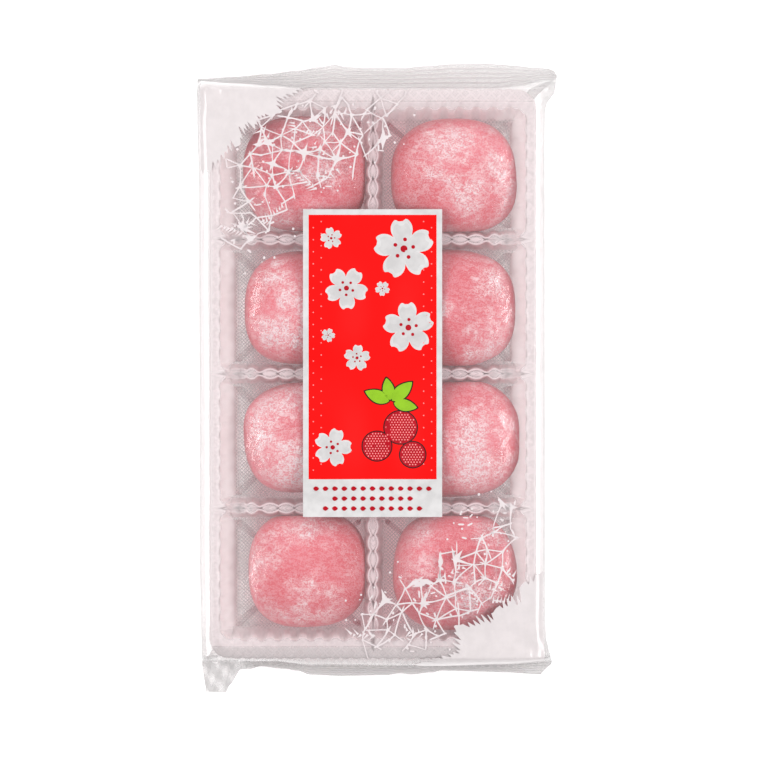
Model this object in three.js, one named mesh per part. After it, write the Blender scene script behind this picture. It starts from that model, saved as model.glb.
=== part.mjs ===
// A sealed retail pack of eight soft rice cakes, lying on its back with the printed front up.
//
// The wrap is one tube of clear film drawn tight over a two-by-four moulded tray. It is flat underneath, slopes out
// to the tray's flange, crowns over the eight cakes, and is crimped shut across both ends. The pack is one closed
// solid out to the film, because film, tray and cakes fill it. Millimetres, +Z up, +Y towards the upper end seal.
// The origin is under the middle of the pack's box, on the surface it lies on.

import * as THREE from "three";

// Tray inside the film
const RIM_HEIGHT = 23.5; // the flange that holds the film out, above the table
const BASE_HALF_WIDTH = 50.5; // the flat underside, narrower than the flange because the tray tapers
const BASE_HALF_LENGTH = 87;
const CAKE_COLUMNS = [-22, 27.2]; // centres of the cakes, which have all slid to the right in their cells
const CAKE_ROWS = [-65.8, -22, 21, 65];
const CAKE_HALF_WIDTH = 20.5;

// Film over the front
const CROWN = 0.6; // how far the front stands above the rim at its middle
const CAKE_BULGE = 2.2; // and further over each cake
const CAKE_BULGE_TOP = 0.4; // share of the way out from a cake's centre where its bulge starts to fall
const CAKE_BULGE_FOOT = 1.15; // and where it ends
const CAKE_SQUARENESS = 2.5; // exponent of the rounded square that each bulge is in plan
const SHOULDER_RADIUS = 4; // film turning over the flange along the sides
const BACK_EDGE_RADIUS = 2.5;
const SHOULDER_SHARE = 0.4; // of the pack's depth, that the shoulder takes at most
const BACK_EDGE_SHARE = 0.3;
const BACK_EDGE_INSET = 0.3; // share of the back edge's radius, in and up, at which its one point stands

// Film along the back: a lap seam lies in the channel between the two columns of the tray
const CHANNEL_HALF_WIDTH = 8;
const CHANNEL_DEPTH = 0.9;
const CHANNEL_SLOPE = 3; // run of each side of the channel
const SEAM_LEFT = -1;
const SEAM_RIGHT = 7.5;
const SEAM_THICKNESS = 0.5;
const SEAM_STEP = 0.3; // run of the seam's own edge

// End seals
const SEAL_THICKNESS = 0.8;
const SEAL_HEIGHT = 11; // middle of the seal's root above the table
const CRIMP_RIBS = 5;
const CRIMP_HEIGHT = 0.3;
const TUCK_DEPTH = 8; // how far the sides fold in towards the seals
const TUCK_START_Y = 66;
const TUCK_AT_SHOULDER = 0.35; // share of the fold that is there where the front starts to turn down

// Half-widths of the film at the flange, by distance along the pack, as [y, x]
const LEFT_EDGE = [[-101, 55.3], [-97.6, 56.4], [-60, 57], [60, 57.3], [83, 57.8], [97, 58]];
const RIGHT_EDGE = [[-101, 56.2], [-97.6, 59.6], [-92.5, 58.3], [-88, 57.5], [-80, 57.2], [78, 57.1], [86, 57.2],
  [88.5, 57.6], [92, 59.4], [94.2, 61.1], [95.5, 61.4], [100.8, 60.6]];

// The two ends, by distances from the middle: the shoulder where the front starts to turn down, and, as [x, distance],
// the root where the seal leaves the pack and its cut edge. The cut edge hangs below the root by [x, drop].
const UPPER_END = {
  side: 1,
  shoulder: 93.2,
  root: [[-58, 96.2], [-45, 95.5], [-32, 94.7], [-25, 93.9], [-18, 94.3], [40, 94.2], [49, 95.3], [57, 97],
    [61, 97.3]],
  edge: [[-58, 97.3], [-47, 97.9], [-35, 98.8], [-25, 100], [-17, 101.1], [-12.5, 101.8], [-8, 101], [1, 100.7],
    [10, 100.7], [18, 101.3], [27, 102], [38, 102.1], [46, 101.6], [54, 100.8], [58, 100.6], [61, 99.6]],
  drop: [[-58, 6], [-30, 5], [-10, 2.5], [30, 1.2], [61, 1.5]],
};
const LOWER_END = {
  side: -1,
  shoulder: 94.4,
  root: [[-56, 96.3], [-43, 96], [-33, 96], [-20, 97.3], [20, 97.6], [45, 97], [59, 96]],
  edge: [[-56, 106.5], [-48.6, 106.6], [-47.2, 103.8], [-43.6, 98.9], [-40.5, 98.7], [-37, 97.9], [-29, 98.7],
    [-25, 99.3], [-20.5, 100.7], [-10, 101.1], [5, 100.8], [9, 100.2], [13, 100.6], [20, 99.9], [23, 99.3],
    [42, 99.8], [56, 100.6]],
  drop: [[-56, 7], [-46, 6], [-38, 4.5], [-20, 5], [0, 5.5], [40, 5.2], [59, 4.5]],
};

// Steps of the skin
const PANEL_STEPS = 20; // across the front and the back
const SHOULDER_STEPS = 3; // round each long edge
const TUCK_LEVELS = [0.68, 0.5, 0.32]; // points down each side between its two round edges
const BODY_STEPS = 34; // along the pack between the shoulders
const TURN_STEPS = 7; // from a shoulder down to the seal
const STEPS_PER_RIB = 4;

const { smoothstep, lerp, clamp } = THREE.MathUtils;

/** Reads a list of [at, value] pairs at a place, with a smooth run between neighbours. */
function along(list, at) {
  let value = list[0][1];
  for (let i = 1; i < list.length; i++) {
    const [from, low] = list[i - 1];
    const [to, high] = list[i];
    if (at > from) value = lerp(low, high, smoothstep(at, from, to));
  }
  return value;
}

/** Distance from the middle to the shoulder at the end that y lies towards. */
const shoulderFrom = (y) => (y > 0 ? UPPER_END : LOWER_END).shoulder;

/** Height of the film over the front: a flat crown, with a rounded square bulge on each cake. */
function frontHeight(x, y) {
  const acrossShare = clamp(x / BASE_HALF_WIDTH, -1, 1);
  const alongShare = y / shoulderFrom(y);
  let height = RIM_HEIGHT + CROWN * (1 - acrossShare ** 4) * (1 - alongShare ** 4);
  for (const cakeX of CAKE_COLUMNS) {
    for (const cakeY of CAKE_ROWS) {
      const sum = Math.abs(x - cakeX) ** CAKE_SQUARENESS + Math.abs(y - cakeY) ** CAKE_SQUARENESS;
      const reach = sum ** (1 / CAKE_SQUARENESS) / CAKE_HALF_WIDTH;
      height += CAKE_BULGE * (1 - smoothstep(reach, CAKE_BULGE_TOP, CAKE_BULGE_FOOT));
    }
  }
  return height;
}

/** Height of the film under the back: flat, with the lap seam lying in its channel. */
function backHeight(x) {
  const channel = CHANNEL_DEPTH * (1 - smoothstep(Math.abs(x), CHANNEL_HALF_WIDTH, CHANNEL_HALF_WIDTH + CHANNEL_SLOPE));
  const onSeam = x > SEAM_LEFT - SEAM_STEP / 2 && x < SEAM_RIGHT + SEAM_STEP / 2;
  return channel - (onSeam ? Math.min(SEAM_THICKNESS, channel) : 0);
}

/** The places across a panel, from -1 to 1, with a close pair at each edge of the seam. */
function panelPlaces() {
  const places = Array.from({ length: PANEL_STEPS + 1 }, (_, i) => (2 * i) / PANEL_STEPS - 1);
  for (const edge of [SEAM_LEFT - SEAM_STEP, SEAM_LEFT, SEAM_RIGHT, SEAM_RIGHT + SEAM_STEP]) {
    places.push(edge / BASE_HALF_WIDTH);
  }
  return places.sort((a, b) => a - b);
}

/** A station across the body of the pack. */
function bodyStation(y) {
  return {
    y,
    tuck: TUCK_DEPTH * TUCK_AT_SHOULDER * smoothstep(Math.abs(y), TUCK_START_Y, shoulderFrom(y)),
    taper: 1,
    front: (x) => [y, frontHeight(x, y)],
    back: (x) => [clamp(y, -BASE_HALF_LENGTH, BASE_HALF_LENGTH), backHeight(x)],
  };
}

/** A station between a shoulder and the root of its seal: share runs from 0 to 1. */
function turnStation(end, share) {
  const angle = (share * Math.PI) / 2;
  const half = SEAL_THICKNESS / 2;
  return {
    y: end.side * lerp(end.shoulder, along(end.root, 0), share),
    tuck: TUCK_DEPTH * lerp(TUCK_AT_SHOULDER, 1, Math.sin(share * Math.PI)) * (1 - share ** 3),
    taper: 1 - share,
    front: (x) => {
      const top = frontHeight(x, end.side * end.shoulder);
      const low = SEAL_HEIGHT + half;
      return [
        end.side * lerp(end.shoulder, along(end.root, x), Math.sin(angle)),
        low + (top - low) * Math.cos(angle),
      ];
    },
    back: (x) => [
      end.side * lerp(BASE_HALF_LENGTH, along(end.root, x), share),
      lerp(backHeight(x), SEAL_HEIGHT - half, share * share),
    ],
  };
}

/** A station across an end's seal: share runs from 0 at its root to 1 at its cut edge. */
function sealStation(end, share) {
  const half = SEAL_THICKNESS / 2;
  const rib = CRIMP_HEIGHT * Math.sin(2 * Math.PI * CRIMP_RIBS * share);
  const at = (x) => end.side * lerp(along(end.root, x), along(end.edge, x), share);
  const height = (x) => SEAL_HEIGHT + rib - along(end.drop, x) * share;
  return {
    y: at(0),
    tuck: 0,
    taper: 0,
    front: (x) => [at(x), height(x) + half],
    back: (x) => [at(x), height(x) - half],
  };
}

/** The closed loop of points round one station, as front panel, right side, back panel, left side. */
function loopOf(station, places) {
  const left = along(LEFT_EDGE, station.y);
  const right = along(RIGHT_EDGE, station.y);
  const lowLeft = lerp(left, BASE_HALF_WIDTH, station.taper);
  const lowRight = lerp(right, BASE_HALF_WIDTH, station.taper);
  const [, topZ] = station.front(right);
  const [, lowZ] = station.back(right);
  const depth = topZ - lowZ;
  const topRadius = Math.min(SHOULDER_RADIUS, depth * SHOULDER_SHARE);
  const lowRadius = Math.min(BACK_EDGE_RADIUS, depth * BACK_EDGE_SHARE);
  const point = (x, level) => {
    const [frontY, frontZ] = station.front(x);
    const [backY, backZ] = station.back(x);
    return [x, lerp(backY, frontY, level), lerp(backZ, frontZ, level)];
  };
  const panel = (low, high, level) =>
    places.map((place) => point(place < 0 ? -place * low : place * high, level));
  // One side from its front edge to its back edge, for a side that reaches top at the flange and low at the base.
  const side = (top, low, sign) => {
    const points = [];
    for (let i = 1; i <= SHOULDER_STEPS; i++) {
      const turn = (i / (SHOULDER_STEPS + 1)) * (Math.PI / 2);
      const level = 1 - (topRadius / depth) * (1 - Math.cos(turn));
      points.push(point(sign * (top - topRadius * (1 - Math.sin(turn))), level));
    }
    for (const level of TUCK_LEVELS) {
      const fold = station.tuck * (1 - Math.abs(2 * level - 1));
      points.push(point(sign * (lerp(low, top, level) - fold), level));
    }
    points.push(point(sign * (low - lowRadius * BACK_EDGE_INSET), (lowRadius / depth) * BACK_EDGE_INSET));
    return points;
  };
  const front = panel(-(left - topRadius), right - topRadius, 1);
  const back = panel(-(lowLeft - lowRadius), lowRight - lowRadius, 0);
  return [...front, ...side(right, lowRight, 1), ...back.reverse(), ...side(left, lowLeft, -1).reverse()];
}

/** The whole skin as one closed mesh: loops joined along the pack, and a strip that closes each cut edge. */
function packGeometry() {
  const sealSteps = CRIMP_RIBS * STEPS_PER_RIB;
  const endStations = (end) => [
    ...Array.from({ length: TURN_STEPS }, (_, i) => turnStation(end, (i + 1) / TURN_STEPS)),
    ...Array.from({ length: sealSteps }, (_, i) => sealStation(end, (i + 1) / sealSteps)),
  ];
  const bodyPlace = (i) => lerp(-LOWER_END.shoulder, UPPER_END.shoulder, i / BODY_STEPS);
  const stations = [
    ...endStations(LOWER_END).reverse(),
    ...Array.from({ length: BODY_STEPS + 1 }, (_, i) => bodyStation(bodyPlace(i))),
    ...endStations(UPPER_END),
  ];
  const places = panelPlaces();
  const loops = stations.map((station) => loopOf(station, places));
  const around = loops[0].length;
  const faces = [];
  for (let row = 0; row + 1 < loops.length; row++) {
    for (let i = 0; i < around; i++) {
      const next = (i + 1) % around;
      const [a, b] = [row * around + i, row * around + next];
      const [c, d] = [a + around, b + around];
      faces.push(a, b, d, a, d, c);
    }
  }
  // Across a cut edge, point i of the front half faces point around - 1 - i of the back half.
  const sideCount = (around - 2 * places.length) / 2;
  const opposite = (i) => (2 * places.length + sideCount - 1 - i + around) % around;
  const close = (start, flip) => {
    const first = places.length + (sideCount - 1) / 2;
    for (let i = first; i > first - around / 2; i--) {
      const [a, b] = [(i + around) % around, (i - 1 + around) % around];
      const [c, d] = [opposite(a), opposite(b)];
      const quad = a === c ? [[a, b, d]] : b === d ? [[a, b, c]] : [[a, b, d], [a, d, c]];
      for (const [p, q, r] of quad) faces.push(start + p, start + (flip ? r : q), start + (flip ? q : r));
    }
  };
  close(0, false);
  close((loops.length - 1) * around, true);
  const geometry = new THREE.BufferGeometry();
  geometry.setAttribute("position", new THREE.Float32BufferAttribute(loops.flat(2), 3));
  geometry.setIndex(faces);
  return geometry;
}

const film = new THREE.MeshStandardMaterial({ color: 0xece0e1, roughness: 0.18, metalness: 0 });
const sealedPack = new THREE.Mesh(packGeometry(), film);
sealedPack.name = "sealed_pack";
sealedPack.geometry.computeVertexNormals();
sealedPack.geometry.computeBoundingBox();

// Stand the middle of the box's underside on the origin.
const box = sealedPack.geometry.boundingBox;
sealedPack.position.set(-(box.min.x + box.max.x) / 2, -(box.min.y + box.max.y) / 2, -box.min.z);

const pack = new THREE.Group();
pack.add(sealedPack);
export default pack;
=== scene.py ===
"""A sealed pack of eight soft rice cakes: tray, cakes, clear film wrap and print.

Sizes are millimetres in the pack's own axes: x across, y along towards the upper end seal, z up from
the table, with the middle of the film at x = y = 0. make_piece turns them into metres in the row frame.
"""

import bmesh
import bpy
import numpy as np
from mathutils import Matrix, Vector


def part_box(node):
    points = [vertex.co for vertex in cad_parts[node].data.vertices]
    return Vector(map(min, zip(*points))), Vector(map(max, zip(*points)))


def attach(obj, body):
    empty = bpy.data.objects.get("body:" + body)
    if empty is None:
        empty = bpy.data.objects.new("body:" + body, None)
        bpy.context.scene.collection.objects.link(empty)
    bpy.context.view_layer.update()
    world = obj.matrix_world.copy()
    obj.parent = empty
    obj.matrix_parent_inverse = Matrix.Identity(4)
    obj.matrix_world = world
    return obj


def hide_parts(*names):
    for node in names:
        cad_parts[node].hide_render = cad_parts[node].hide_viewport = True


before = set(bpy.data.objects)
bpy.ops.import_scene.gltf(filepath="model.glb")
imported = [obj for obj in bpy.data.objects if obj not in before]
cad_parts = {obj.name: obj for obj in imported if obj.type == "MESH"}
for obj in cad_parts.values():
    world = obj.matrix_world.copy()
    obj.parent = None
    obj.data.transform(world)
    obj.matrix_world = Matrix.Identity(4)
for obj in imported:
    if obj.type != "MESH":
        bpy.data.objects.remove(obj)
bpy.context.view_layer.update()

# ----------------------------------------------------------------------------------------------------
# The tray. One thin sheet of clear plastic, drawn down hot over a mould into two columns of four cells,
# then trimmed round its flange. The cell walls are fluted for stiffness, so the narrow partitions look
# like chains of lenses from above, with a round knob near the outer end of each cross partition.
# ----------------------------------------------------------------------------------------------------

MM = 0.001
SEAL_RIGHT, SEAL_TOP = 61.4, 102.09  # how far the upper end seal reaches, to the right and along the pack
box_low, box_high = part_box("sealed_pack")
PACK_SHIFT = np.array([box_high.x / MM - SEAL_RIGHT, box_high.y / MM - SEAL_TOP, box_low.z / MM])

TRAY_SHIFT = np.array([0.3, -0.75, 0.0])  # the tray has slid a little inside the film
FLANGE_X, FLANGE_Y = 53.2, 93.2  # outer edge of the flange
FLANGE_CORNER = 6.0
FLANGE_Z = 23.0
LIP_DROP = 1.3  # the trimmed edge, turned down
OPENING_X, OPENING_Y = 50.5, 88.1  # inner edge of the flange
ROW_PITCH = 44.4
CELL_CORNER = 4.0
CELL_FLOOR_Z = 0.7
PARTITION_Z = 19.0
PINCH, LENS = 0.8, 1.85  # half-widths of a partition at a pinch and in the middle of a lens
FLUTE_PITCH = 5.45
END_FLUTES, SIDE_FLUTES = 0.75, 0.2  # depth of the flutes along the flange, at the ends and the sides
LAST_PINCH_X = 36.8  # the chain of lenses ends here
KNOB_X, KNOB_RADIUS = 40.1, 2.0
SIDE_DRAFT, END_DRAFT, PARTITION_DRAFT = 3.6, 2.4, 1.6  # how far each kind of wall leans in
CORNER_DRAFT = 2.8  # the lean where two walls meet
TOP_ROUND, FOOT_ROUND = 0.3, 1.6  # what the rounded top edge and foot of a wall add to its lean
CORNER_INSET, FOOT_INSET = 0.8, 1.4  # of a wall from the opening, at the cell's corners and at the foot
SIDE_SAMPLES = 84  # points along each side of a cell
BEND_Y = 90.1  # a line pressed along each end flange
FLOOR_LATTICE, END_LATTICE = 0.85, 2.42  # pitch of the diamond lines on the floors and the end flanges


def smooth(value, start, end):
    """A smooth step: 0 up to start, 1 from end on, and the cubic 3s^2 - 2s^3 between."""
    share = np.clip((value - start) / (end - start), 0, 1)
    return share * share * (3 - 2 * share)


def grid_faces(rows, columns, closed=False):
    """Corners of the quads of a grid, row by row; closed joins the last column to the first."""
    across = np.arange(columns if closed else columns - 1)
    start = np.arange(rows - 1)[:, None] * columns
    here, there = start + across, start + (across + 1) % columns
    return np.stack([here, there, there + columns, here + columns], -1).reshape(-1, 4)


def joined(grids):
    """Several (points, faces) pairs as one, the corners of each counted on from the last."""
    counts = np.cumsum([0] + [len(points) for points, _ in grids])
    return (
        np.concatenate([points for points, _ in grids]),
        np.concatenate([faces + count for (_, faces), count in zip(grids, counts)]),
    )


def make_piece(name, points, faces, material, slot, merge=2e-6, folds=None):
    """A smooth mesh piece that rides with the pack and stands for its solid.

    Points closer than merge are joined. folds is one share from 0 to 1 for each point, of whitening or
    of starch, kept as the mesh attribute "fold"; on the cakes it also paints shade, and on the tray and
    the film parts of it are painted highlight and painted shade.
    """
    place = (np.asarray(points, float).reshape(-1, 3) + PACK_SHIFT) * MM
    mesh = bpy.data.meshes.new(name)
    mesh.vertices.add(len(place))
    mesh.vertices.foreach_set("co", place.astype(np.float32).ravel())
    mesh.loops.add(faces.size)
    mesh.loops.foreach_set("vertex_index", faces.astype(np.int32).ravel())
    mesh.polygons.add(len(faces))
    mesh.polygons.foreach_set("loop_start", np.arange(0, faces.size, 4, dtype=np.int32))
    mesh.update(calc_edges=True)
    if folds is not None:
        fold = mesh.attributes.new("fold", "FLOAT", "POINT")
        fold.data.foreach_set("value", folds.astype(np.float32).ravel())
    tidy = bmesh.new()
    tidy.from_mesh(mesh)
    bmesh.ops.remove_doubles(tidy, verts=tidy.verts, dist=merge)
    tidy.to_mesh(mesh)
    tidy.free()
    mesh.shade_smooth()
    mesh.materials.append(material)
    made = bpy.data.objects.new(name, mesh)
    bpy.context.scene.collection.objects.link(made)
    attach(made, "root")
    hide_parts("sealed_pack")
    return made


def partition_half_width(along, across_pack):
    """Half-width of a partition: a lens chain |sin|^0.7; a cross partition ends in a knob and a saddle."""
    reach = np.abs(along)
    chain = PINCH + (LENS - PINCH) * np.abs(np.sin(np.pi * (reach - LAST_PINCH_X) / FLUTE_PITCH)) ** 0.7
    if not across_pack:
        return chain
    knob = np.sqrt(np.clip(KNOB_RADIUS**2 - (reach - KNOB_X) ** 2, PINCH**2, None))
    saddle = PINCH + 1.0 * smooth(reach, KNOB_X + 1.2, KNOB_X + 2.6) + 1.5 * smooth(reach, 46.0, 48.2)
    return np.where(reach < LAST_PINCH_X, chain, np.maximum(knob, saddle))


def top_height(x, y):
    """Height of the tray's upper skin: flange, falling to the partitions, with the knobs and dips."""
    cross = np.abs(np.abs(y) - ROW_PITCH * np.round(np.abs(y) / ROW_PITCH)) < 4
    knob = 0.9 * np.exp(-(((np.abs(x) - KNOB_X) / 1.6) ** 2))
    dip = 2.4 * np.exp(-(((np.abs(x) - KNOB_X - 4.2) / 1.6) ** 2))
    ridge = PARTITION_Z + np.where(cross, knob - dip, 0)
    rise = np.maximum(smooth(np.abs(x), 46.9, 48.9), smooth(np.abs(y), 85.0, OPENING_Y - 0.4))
    return ridge + (FLANGE_Z - ridge) * rise


def flange_edge(place):
    """Points on the tray's outline, corners rounded and ends scalloped, and the way out there."""
    size = np.array([[FLANGE_X], [FLANGE_Y]])
    over = np.abs(place) - (size - FLANGE_CORNER)
    corner = (over > 0).all(0)
    way = np.where(corner, over / (np.hypot(*over) + 1e-9), np.abs(place) > size - 1e-6)
    rounded = np.where(corner, size - FLANGE_CORNER + FLANGE_CORNER * way, np.abs(place))
    rounded[1] += 0.45 * (np.abs(np.sin(np.pi * place[0] / 3.6)) - 0.6) * (way[1] > 0.999)
    return np.sign(place) * rounded, np.sign(place) * way


def wall_stand(share, inset, draft):
    """How far a wall stands in from the opening: inset, lean and rounds, a share of the way down."""
    rounds = TOP_ROUND * smooth(share, 0, 0.06) + FOOT_ROUND * smooth(share, 0.86, 1.0)
    return inset + (FOOT_INSET - inset) * smooth(share, 0.5, 1.0) + draft * share + rounds


def tray_cell(x_low, x_high, y_low, y_high):
    """One cell as rings round its outline: lip, flange or partition, rim, fluted wall, foot and floor.

    Returns its points, its faces and the share of whitening of each point.
    """
    run, one = 2 * np.arange(SIDE_SAMPLES) / SIDE_SAMPLES - 1, np.ones(SIDE_SAMPLES)
    square = np.array([np.concatenate([run, one, -run, -one]), np.concatenate([-one, run, one, -run])])
    on_side = np.concatenate([0 * one, one, 0 * one, one]).astype(bool)  # left and right sides
    low, high = np.array([[x_low], [y_low]]), np.array([[x_high], [y_high]])
    place = (high + low) / 2 + (high - low) / 2 * square
    outer = np.where(on_side, *(np.abs(place) > [[FLANGE_X - 1e-6], [FLANGE_Y - 1e-6]]))

    def along_side(pair):
        """Of an x and a y, the one that runs along the side."""
        return np.where(on_side, pair[1], pair[0])

    # The opening, as the cell's own rectangle with the flange taken off, its corners rounded.
    opened = np.array([[OPENING_X], [OPENING_Y]])
    low, high = np.maximum(low, -opened), np.minimum(high, opened)
    half, centre = (high - low) / 2, (high + low) / 2
    local, flat = half * square, half - CELL_CORNER
    near = np.clip(np.abs(local) - flat, 0, None)
    turn = np.pi / 4 * along_side(near) / CELL_CORNER
    way = np.sign(local) * np.where([on_side, ~on_side], np.cos(turn), np.sin(turn))
    straight = np.clip(local, -flat, flat)
    opening = centre + straight + CELL_CORNER * way

    # How far the rim stands in from there: half a partition, or the flutes along the flange.
    run = along_side(opening)
    chain = np.where(on_side, partition_half_width(run, False), partition_half_width(run, True))
    flute_depth = np.where(on_side, SIDE_FLUTES, END_FLUTES)
    flutes = flute_depth * (1 - np.tanh(2.0 * np.sin(2 * np.pi * run / FLUTE_PITCH)))
    from_corner = CELL_CORNER + along_side(flat - np.abs(straight) - near)
    plain = np.where(outer, flute_depth, 1.2)
    settle = smooth(from_corner, 2.0, 5.0)
    inset = CORNER_INSET + (plain - CORNER_INSET) * smooth(from_corner, 0, 3)
    inset = inset + (np.where(outer, flutes, chain) - plain) * settle

    edge, out = flange_edge(place)
    edge_z, lip = top_height(*edge), LIP_DROP * np.hypot(*out)
    dome = np.where(outer | on_side, 0, 0.7 * np.exp(-((np.abs(place[0]) - KNOB_X) ** 2)))
    rim_z = top_height(*(opening - inset * way))
    rings = [[*(edge + 0.75 * out), edge_z - lip], [*(edge + 0.6 * out), edge_z - 0.3 * lip]]
    rings.append([*edge, edge_z + dome])
    # Stretched white: the waist before the knob, the knob's far side, the saddle and its outer end, where
    # the bright band on the slope up to the flange is a painted highlight.
    across = ~outer & ~on_side
    reach = np.abs(opening[0])
    waist = smooth(reach, LAST_PINCH_X - 1.8, LAST_PINCH_X - 0.6) * smooth(KNOB_X - 1.2 - reach, 0, 0.8)
    stretched = across * np.max(
        [
            0.75 * waist,
            0.9 * np.exp(-(((reach - KNOB_X - KNOB_RADIUS) / 0.5) ** 2)),
            0.4 * smooth(reach, KNOB_X + KNOB_RADIUS, KNOB_X + KNOB_RADIUS + 1),
            0.6 * smooth(reach, 47.5, 48.5),
            0.95 * np.exp(-(((reach - 47.4) / 0.75) ** 4)),
        ],
        axis=0,
    )
    bead = np.where(across, 1 - smooth(reach, KNOB_X + 1.4, KNOB_X + 2.4), 1) * np.where(outer, 0.55, 1)
    folds = [0.7 + 0 * reach, 1.0 + 0 * reach, np.maximum(0.15, stretched)]
    crease = np.exp(-(np.sin(np.pi * run / FLUTE_PITCH) ** 2) / 0.02) * settle
    # A bead stands along the rim, whitened where it is bent most and clear in the groove behind it.
    bead_rings = (  # how far back from the rim, rise above the skin, and whitening
        (0.95, 0.0, 0.0), (0.8, -0.1, -0.7), (0.66, 0.1, -0.4), (0.54, 0.26, 1.0), (0.12, 0.22, 1.0),
        (0.0, 0.0, 0.45),
    )
    for back, rise, fold in bead_rings:
        ring = opening - (inset - np.minimum(back, back * inset / 0.95)) * way
        rings.append([*ring, top_height(*ring) + rise])
        folds.append(np.where(stretched > 0.05, np.maximum(fold * bead, stretched), fold * bead))
    # The wall, from its rounded top edge to its rounded foot. The flutes fade towards the foot.
    draft = np.where(outer, np.where(on_side, SIDE_DRAFT, END_DRAFT), PARTITION_DRAFT)
    draft = CORNER_DRAFT + (draft - CORNER_DRAFT) * smooth(from_corner, 0, 6)
    # The outer walls, stretched most, are the whitest.
    milky = outer * np.where(on_side, 0.8, 0.32 + 0.35 * smooth(reach, 36, 46))
    for share in (0.02, 0.06, 0.13, 0.25, 0.4, 0.55, 0.7, 0.82, 0.91, 0.97, 1.0):
        fallen = share if share < 0.9 else 1 - (1 - share) ** 2 / 0.1 * 0.9
        ring = opening - wall_stand(share, inset, draft) * way
        rings.append([*ring, rim_z + (CELL_FLOOR_Z - rim_z) * fallen])
        bent = 0.55 * crease * (1 - smooth(share, 0.5, 0.85))
        folds.append(np.maximum(bent, milky * (1 - smooth(share, 0.8, 0.95))))
    for share in (0.12, 0.35, 0.65, 1.0):
        rings.append([*(ring + (centre - ring) * share), CELL_FLOOR_Z + 0 * reach])
        folds.append(0 * reach)
    points = np.moveaxis(np.array(rings), 1, -1).reshape(-1, 3)
    return points, grid_faces(len(rings), 4 * SIDE_SAMPLES, closed=True), np.concatenate(folds)


def node(tree, kind, sockets=(), **settings):
    """Adds a shader node. A socket, by name or place, gets a value or the output that feeds it."""
    made = tree.nodes.new("ShaderNode" + kind)
    for key, value in settings.items():
        setattr(made, key, value)
    for key, value in dict(sockets).items():
        if isinstance(value, bpy.types.NodeSocket):
            tree.links.new(value, made.inputs[key])
        else:
            made.inputs[key].default_value = value
    return made


def new_material(name):
    """A new, empty material, its node tree and its Object coordinates."""
    material = bpy.data.materials.new(name)
    material.use_nodes = True
    material.node_tree.nodes.clear()
    return material, material.node_tree, node(material.node_tree, "TexCoord").outputs["Object"]


def finished(material, finish):
    """The material, with its finish fixed to its output."""
    node(material.node_tree, "OutputMaterial", {"Surface": finish})
    return material


def kept_share(tree):
    """The share that the piece's mesh keeps at each point."""
    return node(tree, "Attribute", attribute_name="fold").outputs["Fac"]


def calculate(tree, operation, *values):
    """One operation on numbers or outputs."""
    return node(tree, "Math", dict(enumerate(values)), operation=operation).outputs[0]


def times(tree, first, second):
    """The product of two numbers or outputs."""
    return calculate(tree, "MULTIPLY", first, second)


def ramp(tree, value, low, high):
    """Maps a value from low..high to 0..1, smoothly, and holds it outside."""
    limits = {"Value": value, "From Min": low, "From Max": high}
    return node(tree, "MapRange", limits, interpolation_type="SMOOTHSTEP").outputs[0]


def total(tree, base, *parts):
    """base plus value times weight, summed over the (value, weight) pairs; each a number or an output."""
    for value, weight in parts:
        base = calculate(tree, "MULTIPLY_ADD", value, weight, base)
    return base


def blend(tree, share, first, second):
    """The colour share of the way from the first to the second."""
    return node(tree, "Mix", {0: share, 6: first, 7: second}, data_type="RGBA").outputs[2]


def blend_finish(tree, share, first, second):
    """The finish share of the way from the first to the second."""
    return node(tree, "MixShader", {0: share, 1: first, 2: second}).outputs[0]


def noise(tree, place, scale, detail, roughness=0.5, distortion=0.0):
    """Cloudy noise, 0 to 1, of the given scale for each metre."""
    sockets = {"Vector": place, "Scale": scale, "Detail": detail}
    sockets |= {"Roughness": roughness, "Distortion": distortion}
    return node(tree, "TexNoise", sockets).outputs["Fac"]


def relief(tree, height, strength, distance):
    """Fine relief in the surface, distance millimetres deep."""
    sockets = {"Height": height, "Strength": strength, "Distance": distance * MM}
    return node(tree, "Bump", sockets).outputs[0]


def body(tree, colour, roughness, bump, **sockets):
    """An opaque finish; further sockets are named with underscores for blanks."""
    named = {name.replace("_", " "): value for name, value in sockets.items()}
    sockets = {"Base Color": colour, "Roughness": roughness, "Normal": bump, **named}
    return node(tree, "BsdfPrincipled", sockets).outputs[0]


def diamond_lattice(tree, coordinates, period, low):
    """Raised lines of a diamond lattice, wider for a smaller low: the larger of two slanting waves."""
    turned = node(tree, "Mapping", {"Vector": coordinates, "Rotation": (0, 0, np.pi / 4)}).outputs[0]
    bands = {"Vector": turned, "Scale": 2 * np.pi / 20 / (period * MM)}
    waves = [
        node(tree, "TexWave", bands, wave_profile="SIN", bands_direction=direction).outputs["Fac"]
        for direction in ("X", "Y")
    ]
    return ramp(tree, calculate(tree, "MAXIMUM", *waves), low, 1.0)


def thin_sheet(tree, tint, deep_tint, roughness, bump, thickness=0.0):
    """A thin clear sheet, the same from both sides: it mirrors 0.07 + 0.9 f^5, f = 1 - cos(angle).

    The rest passes, tinted from tint seen squarely to deep_tint along the sheet or where thickness nears
    1. Returns the finish and f.
    """
    facing = node(tree, "LayerWeight", {"Blend": 0.5, "Normal": bump}).outputs["Facing"]
    depth = calculate(tree, "MAXIMUM", calculate(tree, "POWER", facing, 2.0), thickness)
    clear = node(tree, "BsdfTransparent", {"Color": blend(tree, depth, tint, deep_tint)}).outputs[0]
    mirror = {"Color": (1, 1, 1, 1), "Roughness": roughness, "Normal": bump}
    gloss = node(tree, "BsdfGlossy", mirror).outputs[0]
    share = total(tree, 0.07, (calculate(tree, "POWER", facing, 5.0), 0.9))
    return blend_finish(tree, share, clear, gloss), facing


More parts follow.
